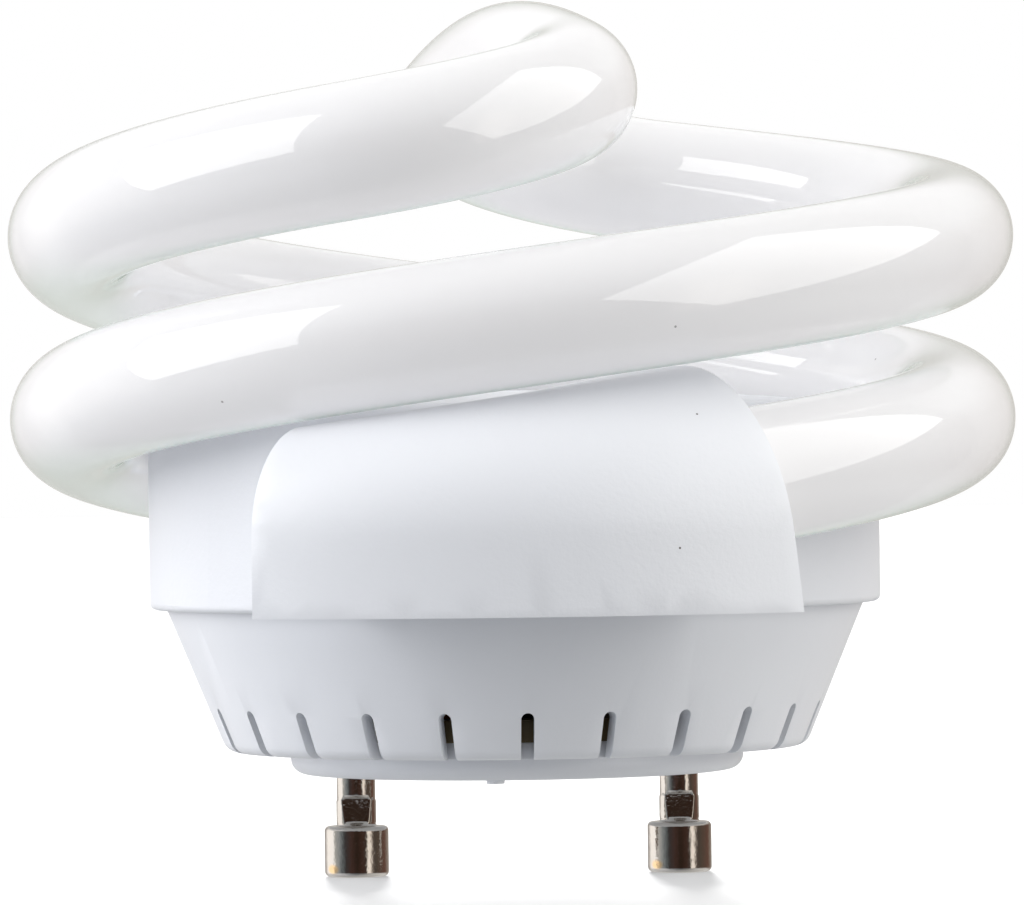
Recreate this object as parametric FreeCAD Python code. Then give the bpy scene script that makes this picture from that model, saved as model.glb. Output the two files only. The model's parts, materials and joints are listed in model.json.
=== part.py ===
# Spiral energy saving bulb with a two-pin twist-lock base.
# Millimetres. Origin on the lamp's axis, level with the tips of the two pins.
# +Z up through the spiral, both pins on the X axis, one vent of the housing faces -Y.

import FreeCAD, Part
import math
import os

V = FreeCAD.Vector
UP = V(0, 0, 1)

# Contact pins
pin_spacing = 24.0
pin_head_d = 4.75
pin_head_h = 3.75
pin_head_edge = 0.45
pin_neck_d = 2.85
pin_dent_depth = 0.4
pin_dent_w = 1.9
pin_rivet_d = 4.6
pin_rivet_h = 0.5
pin_bore_d = 1.5
pin_lead_d = 0.8

# Bottom cap
boss_z = 7.7
boss_d = 33.6
boss_edge_r = 1.1
cap_floor_t = 1.5
bottom_flange_t = 1.2
bottom_web_t = 0.5
bottom_lip_w = 0.9
gate_mark_d = 1.3
gate_mark_h = 0.25
gate_mark_x = -2.1
gate_mark_inset = 1.8

# Ballast housing
housing_z = 9.4
housing_bottom_r = 21.5
housing_inset = 1.25
housing_wall = 1.6
housing_edge_r = 1.2
seam_z = 20.0
collar_h = 3.5
vent_count = 24
vent_w = 0.95
vent_top_z = 12.8

# Upper cap
band_r = 27.1
band_wall = 1.5
band_edge_r = 0.5
cap_top_z = 34.8
cap_top_edge_r = 1.8
cap_top_t = 1.5

# Spiral tube
coil_r = 32.4
tube_d = 9.7
coil_pitch = 26.9
coil_z = 33.7
coil_phase = -4.0
coil_start = -90.0
coil_leave = 250.0
crown_bend_r = 12.0
crown_z = 59.85
step_deg = 10.0
crown_steps = 12

# Hoods over the tube's two ends
hood_clearance = 2.75
hood_inset = 8.4
hood_wall = 1.0
hood_shoulder_z = 25.5
hood_mouth = 298.0
hood_end = 241.0
hood_sections = 5
hood_gap = 0.4
floor_t = 1.5
floor_recess = 0.3

# Cement plugs round the tube in the hood mouths
cement_set_in = 1.2
cement_t = 3.5

# Circuit board and wires
board_t = 1.6
lead_d = 0.6
lead_below = 0.6
post_side = 0.8
post_h = 6.0
tube_lead_d = 0.5

# Bulk capacitor
can_d = 10.0
can_h = 18.0
can_pitch = 5.0
can_groove_z = 2.2
can_groove_r = 0.5
can_at = (-7.5, 0.0, 90)

# Film capacitors
film_l = 9.0
film_w = 4.5
film_h = 8.5
film_edge_r = 0.8
film_pitch = 7.5
resonant_at = (-8.0, 10.7, 0)
filter_cap_at = (15.2, 0.0, 90)

# Power transistors
transistor_w = 7.8
transistor_t = 2.7
transistor_h = 11.0
transistor_edge_r = 0.4
transistor_pitch = 2.3
transistor_hole_d = 3.1
transistor_places = {"high_side_transistor": (3.2, 12.4, 0), "low_side_transistor": (3.2, -12.4, 0)}

# Choke
core_w = 16.0
core_t = 5.0
core_h = 14.0
core_leg = 2.4
core_back = 2.4
core_centre_w = 4.6
spool_wall = 0.7
spool_flange_t = 0.8
winding_t = 1.7
choke_at = (6.0, 0.0, 90)

# Drive transformer
ring_d = 9.0
ring_bore_d = 5.0
ring_h = 3.6
ring_wire_d = 0.5
ring_windings = 3
ring_winding_deg = 58.0
ring_at = (-8.0, -11.0, 20)

# Filter inductor
drum_d = 5.6
drum_h = 8.0
drum_core_d = 2.6
drum_end_t = 1.0
drum_at = (10.7, -11.3, 0)

# Start thermistor and fusible resistor
disc_d = 5.0
disc_t = 2.2
disc_pitch = 3.2
disc_at = (10.6, 11.6, 45)
fuse_d = 3.0
fuse_h = 8.0
fuse_at = (14.2, 7.8, 0)

# Diodes, and the smaller diac and resistors
diode_d = 2.2
diode_l = 4.0
diode_pitch = 7.0
diode_places = [(-14.2, 0.0, 90), (-16.8, 0.0, 90), (0.0, -16.6, 0), (0.0, 16.6, 0)]
small_d = 1.7
small_l = 3.2
small_pitch = 5.0
diac_at = (-1.3, 0.0, 90)
bias_places = [(-1.7, 7.6, 90), (-1.7, -7.6, 90), (14.4, -7.6, 90)]

# Wire posts, two below each hood
post_inset = 2.5
post_angles = [247.0, 254.0]

# Clearances
fit = 0.15
hole_fit = 0.05
gap = 0.3

# Places that follow from the sizes above
tube_r = tube_d / 2
pin_x = pin_spacing / 2
coil_slope = coil_pitch / (2 * math.pi * coil_r)
floor_top_z = boss_z + cap_floor_t
board_z = housing_z + bottom_flange_t
board_top = board_z + board_t
housing_top_r = band_r - housing_inset
slope = (housing_top_r - housing_bottom_r) / (seam_z - housing_z)
band_inner_r = band_r - band_wall
collar_r = band_inner_r - fit
collar_inner_r = collar_r - band_wall
collar_top_z = seam_z + collar_h
ear_z = seam_z + floor_recess
hood_r = coil_r + tube_r + hood_clearance
hood_inner_r = coil_r - hood_inset
hood_wall_deg = math.degrees(hood_wall / coil_r)
can_wires = [(-can_pitch / 2, 0), (can_pitch / 2, 0)]
film_wires = [(-film_pitch / 2, 0), (film_pitch / 2, 0)]
transistor_wires = [(-transistor_pitch, 0), (0, 0), (transistor_pitch, 0)]
disc_wires = [(-disc_pitch / 2, 0), (disc_pitch / 2, 0)]
diode_wires = [(-diode_pitch / 2, 0), (diode_pitch / 2, 0)]
small_wires = [(-small_pitch / 2, 0), (small_pitch / 2, 0)]


def housing_inner_r(z):
    """Inner radius of the housing's sloping wall at a height."""
    return housing_bottom_r - housing_wall + slope * (z - housing_z)


def turned(shape, degrees):
    """The shape turned about the lamp's axis."""
    copy = shape.copy()
    copy.rotate(V(0, 0, 0), UP, degrees)
    return copy


def rod(d, h, x, y, z):
    """Upright cylinder."""
    return Part.makeCylinder(d / 2, h, V(x, y, z))


def block(lx, ly, lz, x, y, z):
    """Box centred on x, y with its foot at z."""
    return Part.makeBox(lx, ly, lz, V(x - lx / 2, y - ly / 2, z))


def revolved(outline):
    """Solid of revolution about Z from (radius, height) points."""
    points = [V(r, 0, z) for r, z in outline]
    wire = Part.makePolygon(points + points[:1])
    return Part.Face(wire).revolve(V(0, 0, 0), UP, 360)


def joined(shapes):
    """One solid from shapes that meet."""
    return shapes[0].multiFuse(shapes[1:]).removeSplitter()


def sector(inner_r, outer_r, z, h, start, end):
    """Part of a flat ring between two angles."""
    ring = Part.makeCylinder(outer_r, h, V(0, 0, z), UP, end - start)
    ring = ring.cut(Part.makeCylinder(inner_r, h, V(0, 0, z)))
    return turned(ring, start)


def coil_height(turn):
    """Height of one arm's centre line after turning by that many degrees."""
    return coil_z + coil_pitch * turn / 360


def coil_point(turn):
    """Point of the first arm's centre line where it runs on the helix."""
    a = math.radians(turn + coil_phase)
    return V(coil_r * math.cos(a), coil_r * math.sin(a), coil_height(turn))


def crown_points():
    """Centre line from the helix to the top: an inside bend, then straight to the axis.

    The height is a cubic that starts with the helix's rise and ends level at the axis.
    """
    reach = coil_r - crown_bend_r
    turn_in = 90 + math.degrees(math.asin(crown_bend_r / reach))
    bend_length = crown_bend_r * math.radians(turn_in)
    length = bend_length + math.sqrt(reach ** 2 - crown_bend_r ** 2)
    leave = math.radians(coil_leave)
    centre = V(reach * math.cos(leave), reach * math.sin(leave), 0)
    start_z = coil_height(coil_leave)
    rise = coil_slope * length
    points = []
    for i in range(1, crown_steps + 1):
        t = i / crown_steps
        along = t * length
        a = leave + min(along, bend_length) / crown_bend_r
        past = max(along - bend_length, 0)
        x = centre.x + crown_bend_r * math.cos(a) - past * math.sin(a)
        y = centre.y + crown_bend_r * math.sin(a) + past * math.cos(a)
        z = (2 * t ** 3 - 3 * t ** 2 + 1) * start_z
        z += (t ** 3 - 2 * t ** 2 + t) * rise
        z += (3 * t ** 2 - 2 * t ** 3) * crown_z
        points.append(V(x, y, z))
    turn = FreeCAD.Rotation(UP, coil_phase)
    return [turn.multVec(p) for p in points]


def tube_centre_points():
    """Points along both arms, the second arm being the first turned half round."""
    steps = round((coil_leave - coil_start) / step_deg)
    arm = [coil_point(coil_start + i * (coil_leave - coil_start) / steps) for i in range(steps + 1)]
    arm += crown_points()
    return arm + [V(-p.x, -p.y, p.z) for p in reversed(arm[:-1])]


def discharge_tube():
    """Sealed glass tube, coated white inside, so it is one closed body.

    Its centre line is a chain of arcs, each through three neighbouring points.
    """
    points = tube_centre_points()
    arcs = [Part.Arc(*points[i:i + 3]).toShape() for i in range(0, len(points) - 2, 2)]
    along = V(*arcs[0].Curve.tangent(arcs[0].FirstParameter)[0])
    section = Part.Circle(points[0], along, tube_r).toShape()
    return Part.Wire(arcs).makePipeShell([Part.Wire([section])], True, False)


def hood_top(angle):
    """Top of the hood just below the pass of the other arm above it."""
    return coil_height(angle - 180 - coil_phase) - tube_r - hood_gap


def hood_section(angle, inner_r, inset, foot_z):
    """Section of a hood: straight outer wall, quarter round shoulder, level top.

    It stands upright at the closed end and leans back, square to the tube, at the mouth.
    """
    lean = math.atan(coil_slope) * (angle - hood_end) / (hood_mouth - hood_end)
    height = (hood_top(angle) - seam_z) / (math.cos(lean) + math.sin(lean) * coil_slope)
    foot = seam_z + (foot_z - seam_z) / math.cos(lean)
    r = hood_r - inset
    top = seam_z + height - inset
    corner = top - hood_shoulder_z
    half = math.sqrt(0.5)
    middle = V(r - corner + corner * half, 0, hood_shoulder_z + corner * half)
    shoulder = Part.Arc(V(r, 0, hood_shoulder_z), middle, V(r - corner, 0, top))
    edges = [
        Part.LineSegment(V(inner_r, 0, foot), V(r, 0, foot)).toShape(),
        Part.LineSegment(V(r, 0, foot), V(r, 0, hood_shoulder_z)).toShape(),
        shoulder.toShape(),
        Part.LineSegment(V(r - corner, 0, top), V(inner_r, 0, top)).toShape(),
        Part.LineSegment(V(inner_r, 0, top), V(inner_r, 0, foot)).toShape(),
    ]
    section = Part.Wire(edges)
    section.rotate(V(0, 0, seam_z), V(1, 0, 0), math.degrees(lean))
    return turned(section, angle)


def hood_form(start, end, inner_r, inset, foot_z):
    """Solid through hood sections at even angles."""
    angles = [start + i * (end - start) / (hood_sections - 1) for i in range(hood_sections)]
    sections = [hood_section(a, inner_r, inset, foot_z) for a in angles]
    return Part.makeLoft(sections, True, False)


def upper_cap():
    """Body with the band at its foot and two hoods, open below and at the hood mouths."""
    body = Part.makeCylinder(band_r, cap_top_z - seam_z, V(0, 0, seam_z))
    top_rim = max(body.Edges, key=lambda e: e.CenterOfMass.z)
    body = body.makeFillet(cap_top_edge_r, [top_rim])
    foot_rim = min(body.Edges, key=lambda e: e.CenterOfMass.z)
    body = body.makeFillet(band_edge_r, [foot_rim])
    hood = hood_form(hood_end, hood_mouth, hood_inner_r, 0, seam_z)
    hollow_end = hood_end + hood_wall_deg
    hollow = hood_form(hollow_end, hood_mouth, hood_inner_r + hood_wall, hood_wall, seam_z)
    cavity = Part.makeCylinder(band_inner_r, cap_top_z - cap_top_t - seam_z, V(0, 0, seam_z))
    cap = body.multiFuse([hood, turned(hood, 180)])
    cap = cap.cut(cavity)
    return cap.cut(hollow).cut(turned(hollow, 180))


def vent():
    """Cutter for one vent: a slot open at the rim with a round top, facing -Y."""
    depth = 3 * housing_wall
    middle = housing_inner_r(vent_top_z) - depth / 3
    straight = vent_top_z - vent_w / 2
    slot = Part.makeBox(vent_w, depth, straight - boss_z, V(-vent_w / 2, -middle - depth, boss_z))
    top = Part.makeCylinder(vent_w / 2, depth, V(0, -middle, straight), V(0, -1, 0))
    return slot.fuse(top)


def hood_floor():
    """Flat ear that closes a hood from below and ends behind the leaning mouth."""
    start = hood_end + hood_wall_deg + math.degrees(fit / coil_r)
    set_back = (ear_z + floor_t - seam_z) * coil_slope + fit
    end = hood_mouth - math.degrees(set_back / band_inner_r)
    return sector(collar_inner_r, hood_r - hood_wall - fit, ear_z, floor_t, start, end)


def ballast_housing():
    """Vented cone with a collar inside the band and an ear under each hood."""
    bend_z = housing_z + (collar_inner_r - housing_bottom_r + housing_wall) / slope
    outline = [
        (housing_bottom_r, housing_z),
        (housing_top_r, seam_z),
        (collar_r, seam_z),
        (collar_r, collar_top_z),
        (collar_inner_r, collar_top_z),
        (collar_inner_r, bend_z),
        (housing_bottom_r - housing_wall, housing_z),
    ]
    cone = revolved(outline)
    rim = max(
        (e for e in cone.Edges if abs(e.BoundBox.ZMax - housing_z) < 1e-6),
        key=lambda e: e.Length,
    )
    cone = cone.makeFillet(housing_edge_r, [rim])
    cutters = [turned(vent(), i * 360 / vent_count) for i in range(vent_count)]
    cone = cone.cut(Part.makeCompound(cutters))
    return joined([cone, hood_floor(), turned(hood_floor(), 180)])


def bottom_cap():
    """Boss that carries the pins, with a flange that closes the housing and a lip for the board."""
    boss_r = boss_d / 2
    flange_r = housing_inner_r(housing_z) - fit
    boss = Part.makeCylinder(boss_r, board_z - boss_z, V(0, 0, boss_z))
    foot_rim = min(boss.Edges, key=lambda e: e.CenterOfMass.z)
    boss = boss.makeFillet(boss_edge_r, [foot_rim])
    flange = Part.makeCylinder(flange_r, bottom_flange_t, V(0, 0, housing_z))
    mark_z = boss_z - gate_mark_h
    mark = rod(gate_mark_d, floor_top_z - mark_z, gate_mark_x, gate_mark_inset - boss_r, mark_z)
    cap = joined([boss, flange, mark])
    web_top = housing_z + bottom_web_t
    cap = cap.cut(Part.makeCylinder(flange_r - bottom_lip_w, board_z - web_top, V(0, 0, web_top)))
    cap = cap.cut(Part.makeCylinder(boss_r - cap_floor_t, web_top - floor_top_z, V(0, 0, floor_top_z)))
    for side in (-1, 1):
        cap = cap.cut(rod(pin_neck_d + 2 * hole_fit, cap_floor_t, side * pin_x, 0, boss_z))
    return cap


def contact_pin(side):
    """Turned hollow pin, pressed in at the front and back of its neck, riveted over the floor."""
    head = pin_head_d / 2
    neck = pin_neck_d / 2
    rivet_top = floor_top_z + pin_rivet_h
    outline = [
        (0, 0),
        (head - pin_head_edge, 0),
        (head, pin_head_edge),
        (head, pin_head_h - pin_head_edge),
        (head - pin_head_edge, pin_head_h),
        (neck, pin_head_h),
        (neck, floor_top_z),
        (pin_rivet_d / 2, floor_top_z),
        (pin_rivet_d / 2, rivet_top),
        (0, rivet_top),
    ]
    pin = revolved(outline)
    pin = pin.cut(rod(pin_bore_d, rivet_top - pin_head_h, 0, 0, pin_head_h))
    dent_top = boss_z - pin_neck_d / 2
    for face in (-1, 1):
        y = face * (neck - pin_dent_depth / 2)
        low = block(pin_dent_w, pin_dent_depth, dent_top - pin_head_h - pin_dent_w / 2, 0, y, pin_head_h)
        centre = V(0, y - pin_dent_depth / 2, dent_top - pin_dent_w / 2)
        arch = Part.makeCylinder(pin_dent_w / 2, pin_dent_depth, centre, V(0, 1, 0))
        pin = pin.cut(low.fuse(arch))
    pin.translate(V(side * pin_x, 0, 0))
    return pin


def pin_lead(side):
    """Wire from inside a pin up through the circuit board."""
    return rod(pin_lead_d, board_top - pin_head_h, side * pin_x, 0, pin_head_h)


def placed(shape, x, y, angle):
    """A board part made at the origin, turned and set at its place on the board."""
    shape.rotate(V(0, 0, 0), UP, angle)
    shape.translate(V(x, y, board_top))
    return shape


def legs(points):
    """Upright wires through the board, below a part made at the origin."""
    return [rod(lead_d, board_t + lead_below + lead_d, x, y, -board_t - lead_below) for x, y in points]


def wire_holes(x, y, angle, points):
    """Places of a part's wires on the board, for the holes."""
    turn = FreeCAD.Rotation(UP, angle)
    return [turn.multVec(V(px, py, 0)) + V(x, y, 0) for px, py in points]


def axial(d, length, pitch):
    """Round part lying on the board with a wire bent down at each end."""
    r = d / 2
    body = Part.makeCylinder(r, length, V(-length / 2, 0, r), V(1, 0, 0))
    wire = Part.makeCylinder(lead_d / 2, pitch, V(-pitch / 2, 0, r), V(1, 0, 0))
    shapes = [body, wire]
    for x in (-pitch / 2, pitch / 2):
        shapes.append(Part.makeSphere(lead_d / 2, V(x, 0, r)))
        shapes.append(rod(lead_d, r + board_t + lead_below, x, 0, -board_t - lead_below))
    return joined(shapes)


def boxed(lx, ly, h, edge_r, points):
    """Moulded box with rounded upright edges and wires below."""
    box = block(lx, ly, h, 0, 0, 0)
    upright = [e for e in box.Edges if e.BoundBox.ZLength > h / 2]
    return joined([box.makeFillet(edge_r, upright)] + legs(points))


def bulk_capacitor():
    """Electrolytic can with its crimp groove."""
    can = rod(can_d, can_h, 0, 0, 0)
    groove = Part.makeTorus(can_d / 2, can_groove_r, V(0, 0, can_groove_z))
    return joined([can.cut(groove)] + legs(can_wires))


def film_capacitor():
    """Dipped film capacitor."""
    return boxed(film_l, film_w, film_h, film_edge_r, film_wires)


def transistor():
    """Upright power transistor with its fixing hole."""
    body = boxed(transistor_w, transistor_t, transistor_h, transistor_edge_r, transistor_wires)
    hole_z = transistor_h - transistor_hole_d
    start = V(0, -transistor_t / 2, hole_z)
    hole = Part.makeCylinder(transistor_hole_d / 2, transistor_t, start, V(0, 1, 0))
    return body.cut(hole)


def core_half(upper):
    """E shaped half of the choke's core."""
    half_h = core_h / 2
    half = block(core_w, core_t, half_h, 0, 0, 0)
    window_w = (core_w - core_centre_w) / 2 - core_leg
    window_x = (core_centre_w + window_w) / 2
    for side in (-1, 1):
        half = half.cut(block(window_w, core_t, half_h - core_back, side * window_x, 0, core_back))
    if upper:
        half.rotate(V(0, 0, half_h), V(1, 0, 0), 180)
    return half


def spool_shell(thick):
    """Size of a rectangular layer round the choke's centre leg: x, y."""
    return core_centre_w + 2 * (fit + thick), core_t + 2 * (fit + thick)


def choke_bobbin():
    """Spool on the centre leg with a flange at each end."""
    inner = block(*spool_shell(0), core_h, 0, 0, 0)
    low = core_back + fit
    high = core_h - core_back - fit
    tube = block(*spool_shell(spool_wall), high - low, 0, 0, low)
    flange = spool_shell(spool_wall + winding_t)
    shapes = [tube, block(*flange, spool_flange_t, 0, 0, low)]
    shapes.append(block(*flange, spool_flange_t, 0, 0, high - spool_flange_t))
    return joined(shapes).cut(inner)


def choke_winding():
    """Copper between the spool's flanges."""
    low = core_back + fit + spool_flange_t
    height = core_h - 2 * low
    outer = block(*spool_shell(spool_wall + winding_t - fit), height, 0, 0, low)
    return outer.cut(block(*spool_shell(spool_wall), height, 0, 0, low))


def drive_core():
    """Small ferrite ring standing off the board by its wire."""
    ring = rod(ring_d, ring_h, 0, 0, ring_wire_d + hole_fit)
    return ring.cut(rod(ring_bore_d, ring_h, 0, 0, ring_wire_d + hole_fit))


def drive_winding(number):
    """One winding of the ring: a close band of wire round its section."""
    inner = ring_bore_d / 2 - hole_fit
    outer = ring_d / 2 + hole_fit
    low = ring_wire_d
    high = low + ring_h + 2 * hole_fit
    start = number * 360 / ring_windings
    end = start + ring_winding_deg
    band = sector(inner - ring_wire_d, outer + ring_wire_d, 0, high + ring_wire_d, start, end)
    return band.cut(sector(inner, outer, low, high - low, start, end))


def filter_inductor_core():
    """Drum shaped ferrite."""
    outline = [
        (0, 0),
        (drum_d / 2, 0),
        (drum_d / 2, drum_end_t),
        (drum_core_d / 2, drum_end_t),
        (drum_core_d / 2, drum_h - drum_end_t),
        (drum_d / 2, drum_h - drum_end_t),
        (drum_d / 2, drum_h),
        (0, drum_h),
    ]
    return revolved(outline)


def filter_inductor_winding():
    """Copper in the drum's waist."""
    height = drum_h - 2 * drum_end_t
    wound = rod(drum_d - 2 * fit, height, 0, 0, drum_end_t)
    return wound.cut(rod(drum_core_d, height, 0, 0, drum_end_t))


def start_thermistor():
    """Disc on edge on two wires."""
    disc = Part.makeCylinder(disc_d / 2, disc_t, V(0, -disc_t / 2, disc_d / 2 + lead_d), V(0, 1, 0))
    low = -board_t - lead_below
    wires = [rod(lead_d, disc_d / 2 - low, x, 0, low) for x, y in disc_wires]
    return joined([disc] + wires)


def fusible_resistor():
    """Upright wound resistor."""
    return joined([rod(fuse_d, fuse_h, 0, 0, 0)] + legs([(0, 0)]))


def post_place(number):
    """Foot of a wire post: two below each hood."""
    a = math.radians(post_angles[number % 2] + 180 * (number // 2))
    r = housing_inner_r(board_z) - post_inset
    return V(r * math.cos(a), r * math.sin(a), 0)


def wire_post(number):
    """Square pin through the board that a tube wire is wound on."""
    at = post_place(number)
    low = board_z - lead_below
    return block(post_side, post_side, board_top + post_h - low, at.x, at.y, low)


def circuit_board():
    """Round board with a hole for every wire and post."""
    board = Part.makeCylinder(housing_inner_r(board_z) - gap, board_t, V(0, 0, board_z))
    spots = wire_holes(*can_at, can_wires)
    spots += wire_holes(*resonant_at, film_wires) + wire_holes(*filter_cap_at, film_wires)
    spots += wire_holes(*disc_at, disc_wires) + wire_holes(*fuse_at, [(0, 0)])
    spots += wire_holes(*diac_at, small_wires)
    for place in transistor_places.values():
        spots += wire_holes(*place, transistor_wires)
    for place in diode_places:
        spots += wire_holes(*place, diode_wires)
    for place in bias_places:
        spots += wire_holes(*place, small_wires)
    cutters = [rod(lead_d + 2 * hole_fit, board_t, p.x, p.y, board_z) for p in spots]
    cutters += [rod(pin_lead_d + 2 * hole_fit, board_t, side * pin_x, 0, board_z) for side in (-1, 1)]
    side = post_side + 2 * hole_fit
    posts = [post_place(i) for i in range(4)]
    cutters += [block(side, side, board_t, p.x, p.y, board_z) for p in posts]
    return board.cut(Part.makeCompound(cutters))


def rounded_path(points, bend_r):
    """Straight runs joined by tangent arcs of one radius."""
    edges = []
    start = points[0]
    for before, corner, after in zip(points, points[1:], points[2:]):
        back = (before - corner).normalize()
        ahead = (after - corner).normalize()
        half = back.getAngle(ahead) / 2
        cut = bend_r / math.tan(half)
        middle = (back + ahead).normalize()
        centre = corner + middle * (bend_r / math.sin(half))
        enter = corner + back * cut
        leave = corner + ahead * cut
        edges.append(Part.LineSegment(start, enter).toShape())
        edges.append(Part.Arc(enter, centre - middle * bend_r, leave).toShape())
        start = leave
    edges.append(Part.LineSegment(start, points[-1]).toShape())
    return Part.Wire(edges)


def tube_lead(number):
    """Wire from a tube end, over the housing's collar and down to its post."""
    arm = number // 2
    offset = (number % 2 - 0.5) * tube_r
    end = coil_point(coil_start)
    ahead = coil_point(coil_start - step_deg)
    back = (ahead - end).normalize()
    inward = V(-end.x, -end.y, 0).normalize()
    post = post_place(number % 2)
    top = board_top + post_h
    over = collar_top_z + 2 * tube_lead_d
    spread = inward * (-offset)
    points = [
        end + spread + back * gap,
        end + spread + back * (tube_r + offset),
        V(post.x, post.y, 0) * (collar_r / post.Length) + V(0, 0, over + tube_lead_d),
        V(post.x, post.y, over),
        V(post.x, post.y, top),
    ]
    path = rounded_path(points, 2 * tube_lead_d)
    direction = (points[1] - points[0]).normalize()
    section = Part.Wire([Part.Circle(points[0], direction, tube_lead_d / 2).toShape()])
    wire = path.makePipeShell([section], True, False, 2)
    return turned(wire, 180 * arm)


def tube_cement():
    """Cement that fills a hood's mouth round the tube."""
    shut = hood_mouth - math.degrees(cement_set_in / coil_r)
    start = shut - math.degrees(cement_t / coil_r)
    foot = ear_z + floor_t
    plug = hood_form(start, shut, band_r + fit, hood_wall + fit, foot)
    turn = (start + shut) / 2 - coil_phase - 360
    middle = coil_point(turn)
    along = (coil_point(turn + step_deg) - coil_point(turn - step_deg)).normalize()
    bore = Part.makeCylinder(tube_r + fit, 4 * cement_t, middle - along * (2 * cement_t), along)
    return plug.cut(bore)


def build():
    """All pieces by node name."""
    nodes = {
        "discharge_tube": discharge_tube(),
        "upper_cap": upper_cap(),
        "ballast_housing": ballast_housing(),
        "bottom_cap": bottom_cap(),
        "contact_pin_left": contact_pin(-1),
        "contact_pin_right": contact_pin(1),
        "pin_lead_left": pin_lead(-1),
        "pin_lead_right": pin_lead(1),
        "tube_cement_front": tube_cement(),
        "tube_cement_back": turned(tube_cement(), 180),
        "circuit_board": circuit_board(),
        "bulk_capacitor": placed(bulk_capacitor(), *can_at),
        "resonant_capacitor": placed(film_capacitor(), *resonant_at),
        "filter_capacitor": placed(film_capacitor(), *filter_cap_at),
        "choke_core_lower": placed(core_half(False), *choke_at),
        "choke_core_upper": placed(core_half(True), *choke_at),
        "choke_bobbin": placed(choke_bobbin(), *choke_at),
        "choke_winding": placed(choke_winding(), *choke_at),
        "drive_core": placed(drive_core(), *ring_at),
        "filter_inductor_core": placed(filter_inductor_core(), *drum_at),
        "filter_inductor_winding": placed(filter_inductor_winding(), *drum_at),
        "start_thermistor": placed(start_thermistor(), *disc_at),
        "fusible_resistor": placed(fusible_resistor(), *fuse_at),
        "trigger_diac": placed(axial(small_d, small_l, small_pitch), *diac_at),
    }
    for number in range(ring_windings):
        nodes["drive_winding_%d" % (number + 1)] = placed(drive_winding(number), *ring_at)
    for name, place in transistor_places.items():
        nodes[name] = placed(transistor(), *place)
    for number, place in enumerate(diode_places):
        diode = axial(diode_d, diode_l, diode_pitch)
        nodes["rectifier_diode_%d" % (number + 1)] = placed(diode, *place)
    for number, place in enumerate(bias_places):
        resistor = axial(small_d, small_l, small_pitch)
        nodes["bias_resistor_%d" % (number + 1)] = placed(resistor, *place)
    for number in range(4):
        nodes["wire_post_%d" % (number + 1)] = wire_post(number)
        nodes["tube_lead_%d" % (number + 1)] = tube_lead(number)
    return nodes


os.makedirs("parts", exist_ok=True)
for name, shape in build().items():
    shape.exportStep("parts/%s.step" % name)
    print(name, len(shape.Solids), shape.isValid(), round(shape.Volume, 1))
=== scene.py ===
"""Looks of the spiral energy saving bulb: coated glass spiral, moulded cap and housing, nickel pins."""
import json
import math

import bmesh
import bpy
import numpy as np
from mathutils import Matrix, Vector


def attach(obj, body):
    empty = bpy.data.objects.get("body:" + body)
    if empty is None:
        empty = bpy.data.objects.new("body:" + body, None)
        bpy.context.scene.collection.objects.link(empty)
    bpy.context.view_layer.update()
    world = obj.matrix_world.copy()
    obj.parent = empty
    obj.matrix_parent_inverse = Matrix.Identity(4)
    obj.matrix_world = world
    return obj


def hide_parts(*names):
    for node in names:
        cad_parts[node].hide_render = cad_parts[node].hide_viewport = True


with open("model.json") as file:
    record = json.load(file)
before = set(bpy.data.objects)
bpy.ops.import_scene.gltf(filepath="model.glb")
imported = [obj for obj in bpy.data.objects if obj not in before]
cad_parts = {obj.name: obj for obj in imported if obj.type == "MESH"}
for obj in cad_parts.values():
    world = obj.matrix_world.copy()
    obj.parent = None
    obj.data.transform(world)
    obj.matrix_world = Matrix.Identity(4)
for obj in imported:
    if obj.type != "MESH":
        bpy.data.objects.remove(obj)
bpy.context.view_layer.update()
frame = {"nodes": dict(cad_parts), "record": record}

nodes = frame["nodes"]

# Glass spiral, the same centre line as the CAD tube
coil_r = 0.0324
tube_r = 0.00485
coil_rise = 0.0269
coil_z = 0.0337
coil_phase = -4.0
coil_start = -90.0
coil_leave = 250.0
crown_bend_r = 0.012
crown_z = 0.05985
coil_points = 341
crown_points = 61
tube_around = 96
end_dome = 0.4  # height of the domed ends as a share of the tube's radius
end_rings = 7

# Camera, worked out from the outlines of the spiral
eye_distance = 0.5
eye_height = 0.0313
eye_turn = -2.0
eye_roll = 0.013
eye_shift = 0.00009
eye_sensor = 36
eye_lens = 6730 / 1024 * eye_sensor  # focal length and width of the photograph in pixels

# Contact pins
pin_x = 0.012
pin_head_r = 0.002375
pin_head_h = 0.00375
pin_neck_r = 0.001425
pin_rivet_r = 0.0023
pin_rivet_z = 0.0092
pin_top_z = 0.0097
pin_bore_r = 0.00075
pin_dent_depth = 0.00038
pin_dent_lean = 0.1
pin_dent_foot = 0.0038
pin_dent_top = 0.0060
pin_dent_arch = 0.0003
pin_dent_foot_fade = 0.0003
pin_dent_top_fade = 0.00005
pin_dent_side_fade = 0.00004
pin_dent_swell = 0.035
pin_tip_r = 0.0002
pin_roundings = [0.0004, 0.00035, 0.0002, 0.0001, 0.00015, 0.0002, 0.0001, 0.0001]
pin_step = 0.00009
pin_around = 160
corner_points = 8
brass_spot = (-0.0018, -0.00155, 0.00062)
brass_size = 0.00045
brass_squash = 1.7
brass_edge = 1.7

# Shallow dome of the upper cap's top
cap_top_z = 0.0348
crown_r = 0.0245
crown_rise = 0.0011
crown_sink = 0.0002
crown_rings = 25
crown_reach = 0.99  # share of the radius that the rings cover
crown_around = 128

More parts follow.
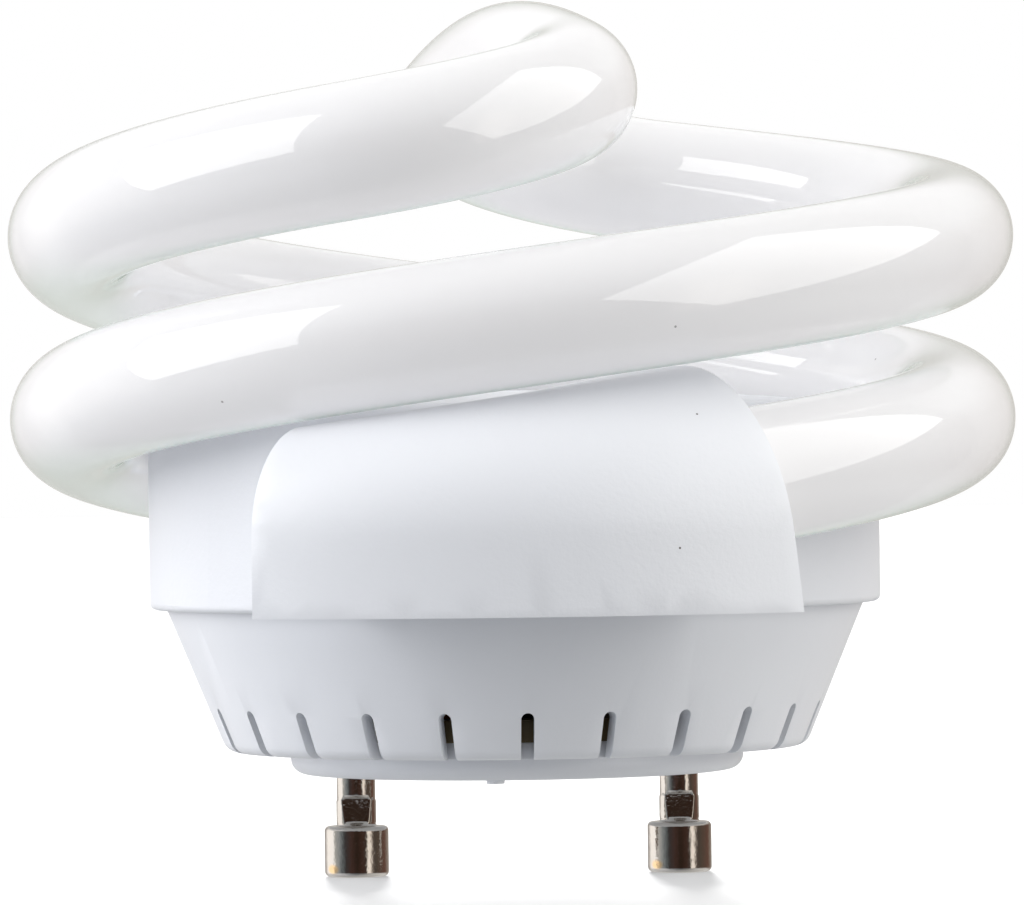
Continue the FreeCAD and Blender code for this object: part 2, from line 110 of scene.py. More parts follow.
# Copies of the CAD's moulded pieces with rounded edges: node, slot and width of the rounding
rounded_pieces = {
    "hooded_cap": ("upper_cap", "cap_plastic", 0.00035),
    "vented_housing": ("ballast_housing", "housing_plastic", 0.00012),
    "pin_boss": ("bottom_cap", "housing_plastic", 0.00012),
}
merge_distance = 0.000002
flat_angle = 0.2
sharp_angle = 35
bevel_segments = 3

# Dust all over a finish, and single specks of dirt on the glass and on the hood
dust_scale = 160
dust_size = 0.022
dust_colour = (0.12, 0.11, 0.1)
dirt_colour = (0.05, 0.045, 0.04)
glass_dirt_r = 0.00012
hood_dirt_r = 0.0001
glass_dirt = [(0.01009, -0.03538, 0.03985), (0.02768, 0.00688, 0.03799), (-0.02131, -0.02935, 0.0351)]
hood_dirt = [(0.01156, -0.03446, 0.0338), (0.01, -0.03873, 0.0246)]

# Glass: where its rim begins and ends by how far it faces away, with its full share; and where its
# underside, tinted green and darkened as painted shade, begins and ends by how far it faces down and away
glass_rim = (0.8, 1.0, 0.9)
glass_under_down = (-0.45, -0.95)
glass_under_away = (0.55, 0.95)

# Light from each side of the room
room_light = [
    ((1, 0, 0), (0.52, 0.51, 0.5)),
    ((-1, 0, 0), (0.62, 0.62, 0.63)),
    ((0, 1, 0), (0.851, 0.848, 0.844)),
    ((0, 0, 1), (0.7, 0.695, 0.685)),
    ((0, 0, -1), (0.2, 0.205, 0.205)),
    ((-0.7, -0.7, 0), (0.054, 0.068, 0.089)),
    ((0, -0.7, 0.7), (0.25, 0.248, 0.246)),
    ((0.7, 0, -0.7), (0.3, 0.295, 0.285)),
    ((-0.7, 0, -0.7), (0.21, 0.215, 0.225)),
]

# Soft boxes: azimuth, elevation, roll, half sizes at a distance of one, radiance, whether they light,
# whether gloss shows them, and their distance. A box that only gleams stands before its twin.
soft_boxes = {
    "backdrop_gleam": (180, 8, 0, (1.3, 1.0), (0.13, 0.13, 0.13), False, True, 1.6),
    "left_soft_box": (-80, 21.6, 23.6, (0.417, 0.516), (2.5, 2.48, 2.5), True, False, 1.6),
    "left_soft_gleam": (-80, 21.6, 23.6, (0.417, 0.516), (3.0, 2.98, 2.92), False, True, 1.5),
    "right_soft_box": (64.5, 26.0, -50.9, (0.549, 0.93), (1.06, 1.045, 1.02), True, False, 1.6),
    "right_soft_gleam": (64.5, 26.0, -50.9, (0.549, 0.93), (2.15, 2.13, 2.08), False, True, 1.5),
}
bulb_middle = 0.04

# Floor, and the low sun from behind that casts the shadow on it
floor_half = 3
floor_glow = 0.3
floor_colour = 0.5
sun_energy = 21.5
sun_angle = 9
sun_tilt = -80

# What gloss sees round the bulb at its own level: azimuth from the camera's side, and colour.
# It fades into the room's light between the two heights of a direction.
level_fade = (0.5, 0.2)
surroundings = [
    (-180, (0.55, 0.53, 0.5)),
    (-150, (0.45, 0.42, 0.4)),
    (-130, (1.3, 1.25, 1.2)),
    (-95, (1.3, 1.26, 1.24)),
    (-84, (0.5, 0.5, 0.48)),
    (-70, (0.34, 0.36, 0.37)),
    (-56, (0.16, 0.18, 0.19)),
    (-42, (0.05, 0.045, 0.045)),
    (-20, (0.065, 0.035, 0.028)),
    (0, (0.03, 0.018, 0.012)),
    (22, (0.06, 0.03, 0.022)),
    (34, (0.06, 0.045, 0.04)),
    (41, (1.2, 1.1, 1.0)),
    (50, (1.1, 1.0, 0.9)),
    (58, (0.25, 0.21, 0.18)),
    (64, (0.09, 0.07, 0.06)),
    (75, (0.09, 0.07, 0.055)),
    (120, (0.15, 0.08, 0.06)),
    (150, (0.35, 0.3, 0.26)),
    (180, (0.55, 0.53, 0.5)),
]


# Surfaces


def add_surface(name, rows, node):
    """A skin through rows of points, each row a closed ring.

    rows is an array (rows, points in a row, 3). Each ring is joined to the next by quads,
    and each end gets a fan of triangles to its middle.
    """
    count, around = rows.shape[:2]
    points = rows.reshape(-1, 3)
    ring = np.arange(around)
    after = (ring + 1) % around
    first = np.arange(count - 1)[:, None] * around
    here, beside = (first + ring).ravel(), (first + after).ravel()
    faces = np.stack([here, here + around, beside + around, beside], 1).tolist()
    for end, turn in ((0, 1), (count - 1, -1)):
        middle = np.full(around, len(points))
        points = np.vstack([points, rows[end].mean(0)])
        fan = np.stack([end * around + ring, end * around + after, middle], 1)
        faces += fan[:, ::turn].tolist()
    mesh = bpy.data.meshes.new(name)
    mesh.from_pydata(points.tolist(), [], faces)
    mesh.update()
    mesh.shade_smooth()
    piece = bpy.data.objects.new(name, mesh)
    bpy.context.scene.collection.objects.link(piece)
    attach(piece, "root")
    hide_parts(node)
    return piece


def spiral_line():
    """Points along the whole tube, one arm up, over the crown and down the other arm.

    On the helix a point turns about the axis at the coil's radius and rises evenly with the turn.
    On the crown the line bends inwards on an arc, runs straight to the axis, and its height is a
    cubic that starts with the helix's rise and ends level. The second arm is the first turned
    half round.
    """
    turn = np.radians(np.linspace(coil_start, coil_leave, coil_points))
    risen = coil_z + coil_rise * turn / (2 * np.pi)
    helix = np.stack([coil_r * np.cos(turn), coil_r * np.sin(turn), risen], 1)
    reach = coil_r - crown_bend_r
    bend = crown_bend_r * (np.pi / 2 + math.asin(crown_bend_r / reach))
    length = bend + math.sqrt(reach**2 - crown_bend_r**2)
    along = np.linspace(0, length, crown_points)[1:]
    leave = math.radians(coil_leave)
    angle = leave + np.minimum(along, bend) / crown_bend_r
    past = np.maximum(along - bend, 0)
    x = reach * math.cos(leave) + crown_bend_r * np.cos(angle) - past * np.sin(angle)
    y = reach * math.sin(leave) + crown_bend_r * np.sin(angle) + past * np.cos(angle)
    t = along / length
    start_z = helix[-1, 2]
    rise = coil_rise / (2 * np.pi * coil_r) * length
    z = (2 * t**3 - 3 * t**2 + 1) * start_z + (t**3 - 2 * t**2 + t) * rise
    z += (3 * t**2 - 2 * t**3) * crown_z
    arm = np.vstack([helix, np.stack([x, y, z], 1)])
    phase = math.radians(coil_phase)
    c, s = math.cos(phase), math.sin(phase)
    arm = arm @ np.array([[c, s, 0], [-s, c, 0], [0, 0, 1]])
    back = arm[-2::-1] * np.array([-1, -1, 1])
    return np.vstack([arm, back])


def spiral_tube():
    """Round tube along the spiral's line, its ends domed.

    Each ring stands square to the line: its sides are the level direction across the line and
    the direction square to both. The ends follow a flat dome whose radius falls with the cosine
    of an angle while it moves on by its sine.
    """
    line = spiral_line()
    ahead = np.gradient(line, axis=0)
    ahead /= np.linalg.norm(ahead, axis=1)[:, None]
    across = np.cross(ahead, [0, 0, 1.0])
    across /= np.linalg.norm(across, axis=1)[:, None]
    upward = np.cross(across, ahead)
    dome = np.linspace(0, np.pi / 2, end_rings + 2)[1:-1]
    flat = end_dome * tube_r
    lead_in = line[0] - ahead[0] * (flat * np.sin(dome[::-1]) - flat)[:, None]
    lead_out = line[-1] + ahead[-1] * (flat * np.sin(dome) - flat)[:, None]
    keep = slice(end_rings + 1, -end_rings - 1)
    middle = np.vstack([lead_in, line[keep], lead_out])
    side, top = (
        np.vstack([np.repeat(way[:1], end_rings, 0), way[keep], np.repeat(way[-1:], end_rings, 0)])
        for way in (across, upward)
    )
    shrink = np.cos(dome)
    radius = tube_r * np.concatenate([shrink[::-1], np.ones(len(line[keep])), shrink])
    around = np.linspace(0, 2 * np.pi, tube_around, endpoint=False)
    cosine, sine = np.cos(around)[:, None], np.sin(around)[:, None]
    spread = cosine * side[:, None] + sine * top[:, None]
    rows = middle[:, None] + spread * radius[:, None, None]
    return add_surface("glass_spiral", rows, "discharge_tube")


def between(first, last, step):
    """Points on the straight stretch between two points, closer together at both its ends."""
    count = int(np.ceil(np.linalg.norm(last - first) / step)) + 2
    share = (1 - np.cos(np.linspace(0, np.pi, count + 1))) / 2
    return first + (last - first) * share[1:-1, None]


def rounded_outline(corners, radii, step):
    """Outline through the corners, each inner corner replaced by an arc that touches both its sides."""
    corners = np.array(corners)
    parts = [corners[:1]]
    for k, radius in enumerate(radii, 1):
        back = (corners[k - 1] - corners[k]) / np.linalg.norm(corners[k - 1] - corners[k])
        on = (corners[k + 1] - corners[k]) / np.linalg.norm(corners[k + 1] - corners[k])
        half = np.arccos(back @ on) / 2
        middle = corners[k] + (back + on) / np.linalg.norm(back + on) * radius / np.sin(half)
        start = corners[k] + back * radius / np.tan(half)
        stop = corners[k] + on * radius / np.tan(half)
        share = np.linspace(0, 1, corner_points)[:, None]
        spoke = (start - middle) * (1 - share) + (stop - middle) * share
        arc = middle + spoke / np.linalg.norm(spoke, axis=1)[:, None] * radius
        parts += [between(parts[-1][-1], start, step), arc]
    parts += [between(parts[-1][-1], corners[-1], step), corners[-1:]]
    return np.vstack(parts)


def smooth(value):
    """Zero below 0, one above 1, and a level-ended cubic between."""
    t = np.clip(value, 0, 1)
    return t * t * (3 - 2 * t)


def contact_pin(name, side, node):
    """Turned pin: an outline of radius and height carried round its axis, its neck pressed in twice.

    Where the neck is pressed, what stands out past a flat is taken back by the smooth positive
    part of its excess, times a window in height that ends above in an arch. The flat leans in
    towards its top, and the neck is a little wider there. The brass attribute is full inside a
    small oval low on the head's front left.
    """
    corners = [
        (pin_tip_r, 0),
        (pin_head_r, 0),
        (pin_head_r, pin_head_h),
        (pin_neck_r, pin_head_h),
        (pin_neck_r, pin_rivet_z),
        (pin_rivet_r, pin_rivet_z),
        (pin_rivet_r, pin_top_z),
        (pin_bore_r, pin_top_z),
        (pin_bore_r, pin_head_h),
        (pin_tip_r, pin_head_h),
    ]
    outline = rounded_outline(corners, pin_roundings, pin_step)
    around = np.linspace(0, 2 * np.pi, pin_around, endpoint=False)
    radius, height = outline[:, :1], outline[:, 1:]
    x = radius * np.cos(around)
    y = -radius * np.sin(around)
    z = np.repeat(height, len(around), 1)
    arch = pin_dent_arch * (x / pin_neck_r) ** 2
    window = smooth((z - pin_dent_foot) / pin_dent_foot_fade)
    window *= smooth((pin_dent_top - arch - z) / pin_dent_top_fade)
    window *= (radius > pin_bore_r * 1.3) & (radius < pin_neck_r * 1.1)  # the neck's outer face only
    deeper = pin_dent_lean * (z - (pin_dent_foot + pin_dent_top) / 2)
    excess = np.abs(y) - (pin_neck_r - pin_dent_depth - deeper)
    pressed = np.abs(y) - window * (excess + np.sqrt(excess**2 + pin_dent_side_fade**2)) / 2
    y = np.sign(y) * pressed
    x = x * (1 + pin_dent_swell * window)
    away = np.stack([x - brass_spot[0], y - brass_spot[1], (z - brass_spot[2]) * brass_squash], 2)
    brass = smooth(brass_edge - np.linalg.norm(away, axis=2) / brass_size)
    rows = np.stack([x + side * pin_x, y, z], 2)
    piece = add_surface(name, rows, node)
    share = piece.data.attributes.new("brass", "FLOAT", "POINT")
    share.data.foreach_set("value", np.append(brass.ravel(), [0, 0]))
    return piece


def cap_crown():
    """Shallow dome on the cap's top: its height over the top falls with the square of the radius."""
    share = np.linspace(0, 1, crown_rings)[:, None]
    around = np.linspace(0, 2 * np.pi, crown_around, endpoint=False)
    radius = np.vstack([[[crown_r]], crown_r * (1 - share * crown_reach)])
    height = cap_top_z + crown_rise * (1 - (radius / crown_r) ** 2)
    height[0] -= crown_sink
    x = radius * np.cos(around)
    y = -radius * np.sin(around)
    rows = np.stack([x, y, np.repeat(height, len(around), 1)], 2)
    return add_surface("cap_crown", rows, "upper_cap")


def rounded_copy(name, node, width):
    """The node's own mesh joined up, its flat triangles merged and its sharp edges rounded."""
    work = bmesh.new()
    work.from_mesh(nodes[node].data)
    bmesh.ops.remove_doubles(work, verts=work.verts, dist=merge_distance)
    flat = math.radians(flat_angle)
    bmesh.ops.dissolve_limit(work, angle_limit=flat, verts=work.verts, edges=work.edges)
    mesh = bpy.data.meshes.new(name)
    work.to_mesh(mesh)
    work.free()
    mesh.shade_smooth()
    piece = bpy.data.objects.new(name, mesh)
    bpy.context.scene.collection.objects.link(piece)
    bevel = piece.modifiers.new("rounded edges", "BEVEL")
    bevel.width = width
    bevel.segments = bevel_segments
    bevel.limit_method = "ANGLE"
    bevel.angle_limit = math.radians(sharp_angle)
    bevel.harden_normals = True
    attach(piece, "root")
    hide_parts(node)
    return piece


# Shader groups and materials


def put(tree, kind, **values):
    """A node in the tree with its settings and its inputs' values."""
    made = tree.nodes.new(kind)
    for key, value in values.items():
        if hasattr(made, key):
            setattr(made, key, value)
        else:
            made.inputs[key.replace("_", " ")].default_value = value
    return made


def join(tree, source, out, target, into):
    """Connects an output to an input, both by name."""
    tree.links.new(source.outputs[out], target.inputs[into])


def ramp(tree, source, low, high, top=1.0):
    """A value that climbs smoothly from 0 to the top between two values of the source."""
    made = put(
        tree, "ShaderNodeMapRange", interpolation_type="SMOOTHSTEP", From_Min=low, From_Max=high, To_Max=top
    )
    tree.links.new(source, made.inputs["Value"])
    return made.outputs["Result"]


def reckon(tree, operation, first, second):
    """Output of a Math node on two values, each an output or a number."""
    made = put(tree, "ShaderNodeMath", operation=operation)
    for value, into in zip((first, second), made.inputs):
        if isinstance(value, float):
            into.default_value = value
        else:
            tree.links.new(value, into)
    return made.outputs[0]


def blend(tree, first, second, share):
    """The first colour turning into the second by the share; each is a fixed colour or an output."""
    made = put(tree, "ShaderNodeMix", data_type="RGBA")
    tree.links.new(share, made.inputs["Factor"])
    colours = [socket for socket in made.inputs if socket.type == "RGBA"]
    for colour, into in zip((first, second), colours):
        if isinstance(colour, tuple):
            into.default_value = (*colour, 1)
        else:
            tree.links.new(colour, into)
    return next(socket for socket in made.outputs if socket.type == "RGBA")


def new_group(name, inputs, outputs):
    """A shader group that takes a vector and the named numbers, with its two end nodes."""
    group = bpy.data.node_groups.new(name, "ShaderNodeTree")
    group.interface.new_socket("Vector", in_out="INPUT", socket_type="NodeSocketVector")
    for label in inputs:
        group.interface.new_socket(label, in_out="INPUT", socket_type="NodeSocketFloat")
    for label in outputs:
        group.interface.new_socket(label, in_out="OUTPUT", socket_type="NodeSocketFloat")
    return group, group.nodes.new("NodeGroupInput"), group.nodes.new("NodeGroupOutput")


def moulded_grain():
    """Group: fine grain of moulded or coated surfaces, as a height and as a slow mottle."""
    group, start, end = new_group("moulded_grain", ("Fine", "Slow"), ("Height", "Mottle"))
    for size, out, detail, roughness in (("Fine", "Height", 3.0, 0.6), ("Slow", "Mottle", 2.0, 0.5)):
        noise = put(group, "ShaderNodeTexNoise", Detail=detail, Roughness=roughness)
        join(group, start, "Vector", noise, "Vector")
        join(group, start, size, noise, "Scale")
        join(group, noise, "Fac", end, out)
    return group


def dust_specks():
    """Group: a few tiny dark specks, where a cell's random value is low and its middle is near."""
    group, start, end = new_group("dust_specks", ("Scale", "Size", "Share"), ("Mask",))
    cells = put(group, "ShaderNodeTexVoronoi")
    apart = put(group, "ShaderNodeSeparateColor")
    join(group, start, "Vector", cells, "Vector")
    join(group, start, "Scale", cells, "Scale")
    join(group, cells, "Color", apart, "Color")
    near = reckon(group, "LESS_THAN", cells.outputs["Distance"], start.outputs["Size"])
    chosen = reckon(group, "LESS_THAN", apart.outputs["Red"], start.outputs["Share"])
    group.links.new(reckon(group, "MULTIPLY", near, chosen), end.inputs["Mask"])
    return group


grain = moulded_grain()
specks = dust_specks()


def surface(name, dark, light, fine, slow, bump, rough, speck=0.0, **shine):
    """Moulded, coated or painted finish: mottled colour, uneven roughness, fine bump, a few specks."""
    made = bpy.data.materials.new(name)
    made.use_nodes = True
    tree = made.node_tree
    shader = tree.nodes["Principled BSDF"]
    for key, value in shine.items():
        shader.inputs[key.replace("_", " ")].default_value = value
    place = put(tree, "ShaderNodeTexCoord")
    texture = put(tree, "ShaderNodeGroup", node_tree=grain, Fine=fine, Slow=slow)
    join(tree, place, "Object", texture, "Vector")
    colour = blend(tree, dark, light, texture.outputs["Mottle"])
    if speck:
        dots = put(tree, "ShaderNodeGroup", node_tree=specks, Share=speck)
        dots.inputs["Scale"].default_value = dust_scale
        dots.inputs["Size"].default_value = dust_size
        join(tree, place, "Object", dots, "Vector")
        colour = blend(tree, colour, dust_colour, dots.outputs["Mask"])
    tree.links.new(colour, shader.inputs["Base Color"])
    span = put(tree, "ShaderNodeMapRange", To_Min=rough[0], To_Max=rough[1])
    join(tree, texture, "Height", span, "Value")
    join(tree, span, "Result", shader, "Roughness")
    bumps = put(tree, "ShaderNodeBump", Strength=1.0, Distance=bump)
    join(tree, texture, "Height", bumps, "Height")
    join(tree, bumps, "Normal", shader, "Normal")
    return made


def inside(made):
    """A finish's tree and shader, and the output that gives its base colour so far."""
    tree = made.node_tree
    shader = tree.nodes["Principled BSDF"]
    return tree, shader, shader.inputs["Base Color"].links[0].from_socket


def dirty(made, places, radius):
    """Adds a small dark speck to the finish at each of the places."""
    tree, shader, colour = inside(made)
    place = put(tree, "ShaderNodeTexCoord")
    for centre in places:
        away = put(tree, "ShaderNodeVectorMath", operation="DISTANCE")
        away.inputs[1].default_value = centre
        tree.links.new(place.outputs["Object"], away.inputs[0])
        colour = blend(tree, colour, dirt_colour, ramp(tree, away.outputs["Value"], radius, radius / 2))
    tree.links.new(colour, shader.inputs["Base Color"])
    return made


def coated_glass():
    """Clear glass over a white coating, hard gloss on it, and a painted glow: the body emits an even light
    that stands in for the light the coating lets through.

    Its rim is greener and darker where the glass shows its thickness. Its undersides are greener and darker
    too: partly the glass's green, partly painted shade. Rim and undersides glow greener and weaker.
    """
    # Emission Strength 1: the tube glows evenly, painted light standing in for light through the coating
    made = surface(
        "coated_glass", (0.55, 0.553, 0.56), (0.575, 0.578, 0.582), 900, 60, 0.000001, (0.5, 0.6), 0.012,
        Coat_Weight=1.0, Coat_Roughness=0.025, Coat_IOR=1.5, Specular_IOR_Level=0.1,
        Subsurface_Weight=0.7, Subsurface_Scale=0.004, Subsurface_Radius=(1, 1, 1), Emission_Strength=1.0,
    )
    tree, shader, body = inside(made)
    facing = put(tree, "ShaderNodeLayerWeight", Blend=0.5).outputs["Facing"]
    rim = ramp(tree, facing, *glass_rim)
    place = put(tree, "ShaderNodeTexCoord")
    upward = put(tree, "ShaderNodeSeparateXYZ")
    join(tree, place, "Normal", upward, "Vector")
    # Undersides facing down and away: the glass's green tint together with painted shade, darker and greener
    down = ramp(tree, upward.outputs["Z"], *glass_under_down)
    under_tint_and_shade = reckon(tree, "MULTIPLY", down, ramp(tree, facing, *glass_under_away))
    # Base colour and emission: the even emission is a painted glow; rim and undersides glow greener and
    # weaker
    for into, plain, at_rim, at_underside_tint_and_shade in (
        ("Base Color", body, (0.17, 0.2, 0.175), (0.36, 0.41, 0.375)),
        ("Emission Color", (0.285, 0.28, 0.285), (0.2, 0.235, 0.205), (0.215, 0.26, 0.23)),
    ):
        colour = blend(tree, blend(tree, plain, at_rim, rim), at_underside_tint_and_shade, under_tint_and_shade)
        tree.links.new(colour, shader.inputs[into])
    return made


def pin_nickel():
    """Nickel plate, a little rough in places, worn to brass where the pin's brass attribute is full."""
    made = surface(
        "pin_nickel", (0.62, 0.59, 0.55), (0.74, 0.71, 0.67), 2200, 500, 0.000026, (0.05, 0.16), **metal
    )
    tree, shader, plate = inside(made)
    worn = put(tree, "ShaderNodeAttribute", attribute_name="brass")
    colour = blend(tree, plate, (0.86, 0.62, 0.36), worn.outputs["Fac"])
    tree.links.new(colour, shader.inputs["Base Color"])
    return made


# Plain finishes by slot: darker and lighter colour, scale of the fine grain and of the slow mottle,
# height of the bump, least and most roughness, share of dust, and what else the shader needs
satin = {"Specular_IOR_Level": 0.4}
metal = {"Metallic": 1.0}
enamel = {"Metallic": 0.9}
plain_finishes = {
    "cap_plastic": ((0.78, 0.8, 0.84), (0.8, 0.82, 0.86), 2600, 120, 0.00002, (0.36, 0.46), 0.004, satin),
    "housing_plastic": ((0.77, 0.79, 0.83), (0.79, 0.81, 0.85), 2600, 120, 0.00001, (0.36, 0.46), 0, satin),
    "tinned_wire": ((0.62, 0.62, 0.6), (0.7, 0.7, 0.68), 1500, 300, 0.000004, (0.25, 0.4), 0, metal),
    "cement": ((0.74, 0.72, 0.68), (0.85, 0.84, 0.8), 2500, 400, 0.00005, (0.8, 0.95), 0, {}),
    "board_laminate": ((0.1, 0.075, 0.03), (0.14, 0.1, 0.045), 1500, 200, 0.000008, (0.4, 0.6), 0, {}),
    "capacitor_sleeve": ((0.02, 0.025, 0.04), (0.035, 0.04, 0.06), 900, 150, 0.000004, (0.25, 0.35), 0, {}),
    "film_dip": ((0.32, 0.05, 0.02), (0.4, 0.08, 0.04), 800, 200, 0.00001, (0.2, 0.3), 0, {}),
    "ferrite": ((0.05, 0.05, 0.052), (0.08, 0.08, 0.085), 2500, 400, 0.00001, (0.45, 0.6), 0, {}),
    "bobbin_plastic": ((0.02, 0.02, 0.02), (0.035, 0.035, 0.035), 1500, 200, 0.000005, (0.4, 0.5), 0, {}),
    "enamelled_copper": ((0.42, 0.14, 0.05), (0.55, 0.2, 0.08), 3000, 300, 0.00003, (0.25, 0.35), 0, enamel),
    "resistor_coat": ((0.3, 0.38, 0.42), (0.38, 0.46, 0.5), 1200, 300, 0.000004, (0.35, 0.5), 0, {}),
    "diode_body": ((0.015, 0.015, 0.015), (0.03, 0.03, 0.03), 2000, 300, 0.000006, (0.4, 0.5), 0, {}),
}
finishes = {slot: surface(slot, *row, **shine) for slot, (*row, shine) in plain_finishes.items()}
finishes["coated_glass"] = dirty(coated_glass(), glass_dirt, glass_dirt_r)
finishes["pin_nickel"] = pin_nickel()
dirty(finishes["cap_plastic"], hood_dirt, hood_dirt_r)


def dress_nodes():
    """Gives every CAD node the finish of its own slot."""
    for part in frame["record"]["subparts"]:
        mesh = nodes[part["node"]].data
        mesh.materials.clear()
        mesh.materials.append(finishes[part["material_slot"]])


# Pieces

dress_nodes()
spiral = spiral_tube()
spiral.data.materials.append(finishes["coated_glass"])
pins = [contact_pin("left_pin", -1, "contact_pin_left"), contact_pin("right_pin", 1, "contact_pin_right")]
for pin in pins:
    pin.data.materials.append(finishes["pin_nickel"])
cap_crown().data.materials.append(finishes["cap_plastic"])
for name, (node, slot, width) in rounded_pieces.items():
    rounded_copy(name, node, width).data.materials.append(finishes[slot])


# Stage, lights and camera


def heading(azimuth, elevation):
    """Direction from the object: azimuth 0 points at the camera's side and 90 to the right."""
    a, e = math.radians(azimuth), math.radians(elevation)
    return Vector((math.sin(a) * math.cos(e), -math.cos(a) * math.cos(e), math.sin(e)))


def soft_box(name, azimuth, elevation, roll, half_size, radiance, lights, gleams, away):
    """Flat rectangular lamp that faces the bulb but doesn't light its pins."""
    lamp = bpy.data.lights.new(name, "AREA")
    lamp.shape = "RECTANGLE"
    lamp.size, lamp.size_y = (2 * half * away for half in half_size)
    lamp.energy = max(radiance) * 4 * lamp.size * lamp.size_y
    lamp.color = [part / max(radiance) for part in radiance]
    holder = bpy.data.objects.new(name, lamp)
    bpy.context.scene.collection.objects.link(holder)
    back = heading(azimuth, elevation)
    right = Vector((0, 0, 1)).cross(back).normalized()
    up = back.cross(right)
    turn = Matrix.Rotation(math.radians(roll), 3, back)
    axes = Matrix((turn @ right, turn @ up, back)).transposed()
    place = Vector((0, 0, bulb_middle)) + back * away
    holder.matrix_world = Matrix.Translation(place) @ axes.to_4x4()
    holder.visible_camera = False
    holder.visible_diffuse = lights
    holder.visible_glossy = gleams
    holder.light_linking.receiver_collection = boxes_leave_out


def room_glow(tree, direction):
    """The room's light from a direction: each side's colour times the square of facing it, added up."""
    total = None
    for side, colour in room_light:
        facing = put(tree, "ShaderNodeVectorMath", operation="DOT_PRODUCT")
        facing.inputs[1].default_value = Vector(side).normalized()
        tree.links.new(direction, facing.inputs[0])
        ahead = reckon(tree, "MAXIMUM", facing.outputs["Value"], 0.0)
        share = put(tree, "ShaderNodeVectorMath", operation="SCALE")
        share.inputs[0].default_value = colour
        tree.links.new(reckon(tree, "MULTIPLY", ahead, ahead), share.inputs["Scale"])
        if total is None:
            total = share.outputs[0]
        else:
            both = put(tree, "ShaderNodeVectorMath", operation="ADD")
            tree.links.new(total, both.inputs[0])
            tree.links.new(share.outputs[0], both.inputs[1])
            total = both.outputs[0]
    return total


def level_glow(tree, apart):
    """What gloss sees at the bulb's level: the surroundings' colours, read by a direction's azimuth."""
    nearer = reckon(tree, "MULTIPLY", apart.outputs["Y"], -1.0)
    turn = reckon(tree, "ARCTAN2", apart.outputs["X"], nearer)
    share = put(tree, "ShaderNodeMapRange", From_Min=-math.pi, From_Max=math.pi)
    tree.links.new(turn, share.inputs["Value"])
    ring = put(tree, "ShaderNodeValToRGB")
    stops = ring.color_ramp.elements
    stops.remove(stops[1])
    for azimuth, colour in surroundings:
        at = (azimuth + 180) / 360
        stop = stops.new(at) if at > 0 else stops[0]
        stop.color = (*colour, 1)
    join(tree, share, "Result", ring, "Fac")
    return ring.outputs["Color"]


def studio_world():
    """White for the camera; for the object a dim room whose light differs from each side.

    Gloss sees the surroundings at the bulb's own level. Above and below they fade into the room's light.
    """
    world = bpy.data.worlds.new("studio")
    bpy.context.scene.world = world
    world.use_nodes = True
    tree = world.node_tree
    tree.nodes.clear()
    place = put(tree, "ShaderNodeTexCoord")
    apart = put(tree, "ShaderNodeSeparateXYZ")
    join(tree, place, "Generated", apart, "Vector")
    path = put(tree, "ShaderNodeLightPath")
    level = ramp(tree, reckon(tree, "ABSOLUTE", apart.outputs["Z"], 0.0), *level_fade)
    at_level = reckon(tree, "MULTIPLY", path.outputs["Is Glossy Ray"], level)
    lit = blend(tree, room_glow(tree, place.outputs["Generated"]), level_glow(tree, apart), at_level)
    seen = blend(tree, lit, (1, 1, 1), path.outputs["Is Camera Ray"])
    light = put(tree, "ShaderNodeBackground")
    tree.links.new(seen, light.inputs["Color"])
    out = put(tree, "ShaderNodeOutputWorld")
    join(tree, light, "Background", out, "Surface")


def flat_sheet(name, corners):
    """A single four-cornered face for the stage."""
    mesh = bpy.data.meshes.new(name)
    mesh.from_pydata([Vector(c) for c in corners], [], [(0, 1, 2, 3)])
    sheet = bpy.data.objects.new(name, mesh)
    bpy.context.scene.collection.objects.link(sheet)
    return sheet


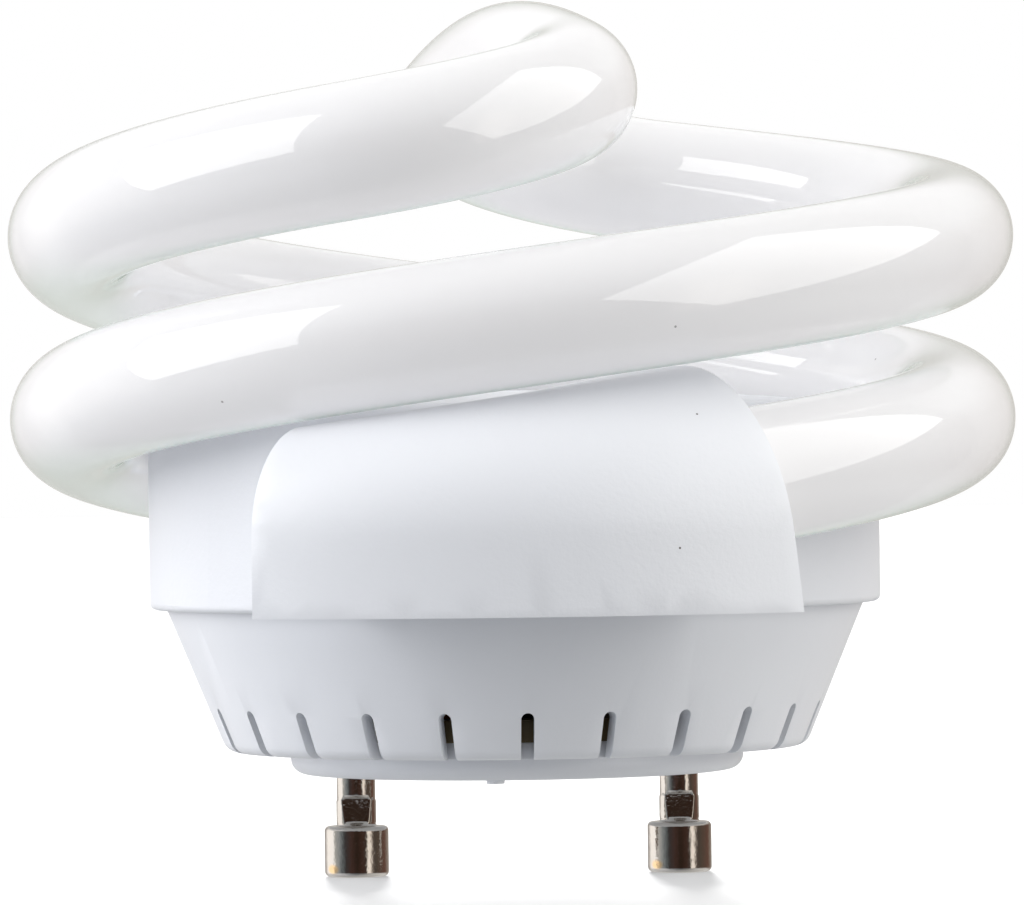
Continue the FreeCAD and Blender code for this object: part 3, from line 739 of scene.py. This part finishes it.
def white_stage(name, glow, colour):
    """White for the camera with the shadow that falls on it; all other rays pass through the sheet."""
    made = bpy.data.materials.new(name)
    made.use_nodes = True
    tree = made.node_tree
    shader = tree.nodes["Principled BSDF"]
    shader.inputs["Base Color"].default_value = (colour, colour, colour, 1)
    shader.inputs["Roughness"].default_value = 1.0
    shader.inputs["Specular IOR Level"].default_value = 0.0
    shader.inputs["Emission Color"].default_value = (1, 1, 1, 1)
    shader.inputs["Emission Strength"].default_value = glow
    path = put(tree, "ShaderNodeLightPath")
    clear = put(tree, "ShaderNodeBsdfTransparent")
    either = put(tree, "ShaderNodeMixShader")
    tree.links.new(path.outputs["Is Camera Ray"], either.inputs[0])
    tree.links.new(clear.outputs[0], either.inputs[1])
    tree.links.new(shader.outputs[0], either.inputs[2])
    tree.links.new(either.outputs[0], tree.nodes["Material Output"].inputs["Surface"])
    return made


def low_sun(target):
    """Sun low behind the bulb that lights only the target, for the shadow on it."""
    only = bpy.data.collections.new("sun's target")
    only.objects.link(target)
    sun = bpy.data.lights.new("back_light", "SUN")
    sun.energy = sun_energy
    sun.angle = math.radians(sun_angle)
    holder = bpy.data.objects.new("back_light", sun)
    bpy.context.scene.collection.objects.link(holder)
    holder.rotation_euler = (math.radians(sun_tilt), 0, 0)
    holder.light_linking.receiver_collection = only


boxes_leave_out = bpy.data.collections.new("left out of the boxes' light")
for pin in pins:
    boxes_leave_out.objects.link(pin)
for entry in boxes_leave_out.collection_objects:
    entry.light_linking.link_state = "EXCLUDE"
corner_sides = ((-1, -1), (1, -1), (1, 1), (-1, 1))
floor = flat_sheet("floor", [(x * floor_half, y * floor_half, 0) for x, y in corner_sides])
floor.data.materials.append(white_stage("floor_white", floor_glow, floor_colour))
low_sun(floor)
studio_world()
for name, values in soft_boxes.items():
    soft_box(name, *values)


def look():
    """Level camera before the bulb, a little to its left and rolled as in the photograph."""
    a = math.radians(eye_turn)
    ahead = Vector((-math.sin(a), math.cos(a), 0))
    right = Vector((math.cos(a), math.sin(a), 0))
    up = Vector((0, 0, 1))
    c, s = math.cos(eye_roll), math.sin(eye_roll)
    axes = Matrix((right * c - up * s, up * c + right * s, -ahead)).transposed()
    camera = bpy.data.cameras.new("camera")
    camera.lens = eye_lens
    camera.sensor_width = eye_sensor
    camera.clip_start = 0.01
    holder = bpy.data.objects.new("camera", camera)
    bpy.context.scene.collection.objects.link(holder)
    place = -ahead * eye_distance + up * eye_height - right * eye_shift
    holder.matrix_world = Matrix.Translation(place) @ axes.to_4x4()
    bpy.context.scene.camera = holder


look()
bpy.context.scene.view_settings.view_transform = "Standard"
